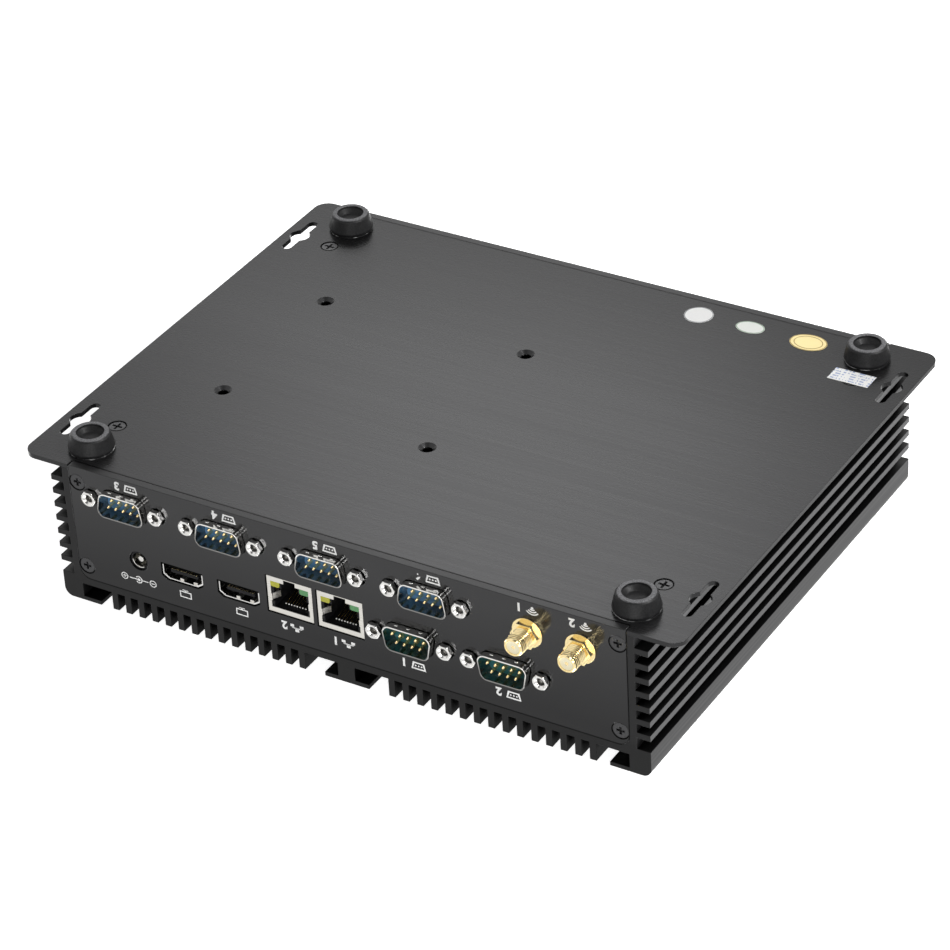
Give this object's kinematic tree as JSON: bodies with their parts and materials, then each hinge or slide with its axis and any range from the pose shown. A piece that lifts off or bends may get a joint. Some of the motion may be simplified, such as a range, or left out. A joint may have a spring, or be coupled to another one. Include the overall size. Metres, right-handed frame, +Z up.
{
  "type": "fanless industrial pc",
  "caption": "Low wide fanless computer: finned extruded case, end panel full of sockets, flanged base plate with wall keyholes, and rubber feet.",
  "frame": {"origin": "centre of the footprint, on the plane of the feet's soles", "axes": "+X along the end panels, +Y from the port panel back to the switch panel, +Z up from the feet to the cooling fins"},
  "size_m": [0.2344, 0.188, 0.0574],
  "materials": {
    "case_metal": "dark anodised extrusion",
    "plate_metal": "brushed, black anodised",
    "panel_metal": "satin black",
    "foot_rubber": "soft, matt",
    "dark_screws": "blackened",
    "plug_chrome": "bright nickel",
    "blue_plastic": "moulded",
    "teal_plastic": "moulded",
    "gilt": "gilt",
    "socket_steel": "tinned sheet",
    "black_plastic": "moulded",
    "yellow_lens": "tinted",
    "green_lens": "tinted",
    "white_plastic": "insulating",
    "button_metal": "turned",
    "board_green": "laminate",
    "chip_black": "moulded package",
    "lead_grey": "flexible sheath"
  },
  "bodies": {
    "case": {"heat_sink_case": "case_metal", "base_plate": "plate_metal", "port_panel": "panel_metal", "switch_panel": "panel_metal", "foot_1": "foot_rubber", "foot_2": "foot_rubber", "foot_3": "foot_rubber", "foot_4": "foot_rubber", "plate_screws": "dark_screws", "port_panel_screws": "dark_screws", "switch_panel_screws": "dark_screws", "serial_shell_1": "plug_chrome", "serial_shell_2": "plug_chrome", "serial_shell_3": "plug_chrome", "serial_shell_4": "plug_chrome", "serial_shell_5": "plug_chrome", "serial_shell_6": "plug_chrome", "jackscrews": "plug_chrome", "video_shell_1": "plug_chrome", "video_shell_2": "plug_chrome", "power_jack_sleeve": "plug_chrome", "serial_insert_1": "blue_plastic", "serial_insert_2": "blue_plastic", "serial_insert_3": "blue_plastic", "serial_insert_4": "blue_plastic", "serial_insert_5": "teal_plastic", "serial_insert_6": "teal_plastic", "serial_pins": "gilt", "network_contacts": "gilt", "antenna_socket_1": "gilt", "antenna_socket_2": "gilt", "antenna_washers": "gilt", "antenna_nuts": "gilt", "network_shell_1": "socket_steel", "network_shell_2": "socket_steel", "usb_shells": "socket_steel", "standoffs": "socket_steel", "board_screws": "socket_steel", "coin_cell": "socket_steel", "heat_spreader": "socket_steel", "button_housing": "socket_steel", "network_body_1": "black_plastic", "network_body_2": "black_plastic", "video_tongues": "black_plastic", "power_jack": "black_plastic", "usb_tongues": "black_plastic", "audio_jacks": "black_plastic", "board_sockets": "black_plastic", "network_lamps_yellow": "yellow_lens", "network_lamps_green": "green_lens", "status_lamps": "green_lens", "antenna_insulators": "white_plastic", "main_board": "board_green", "memory_module": "board_green", "storage_card": "board_green", "radio_card": "board_green", "processor": "chip_black", "serial_ribbons": "lead_grey", "antenna_leads": "lead_grey"},
    "button": {"power_button": "button_metal"}
  },
  "joints": [
    {"name": "power_button_press", "type": "slide", "parent": "case", "child": "button", "axis": [0, -1, 0], "range_m": [0, 0.001], "stiffness_N_per_m": 1500}
  ]
}
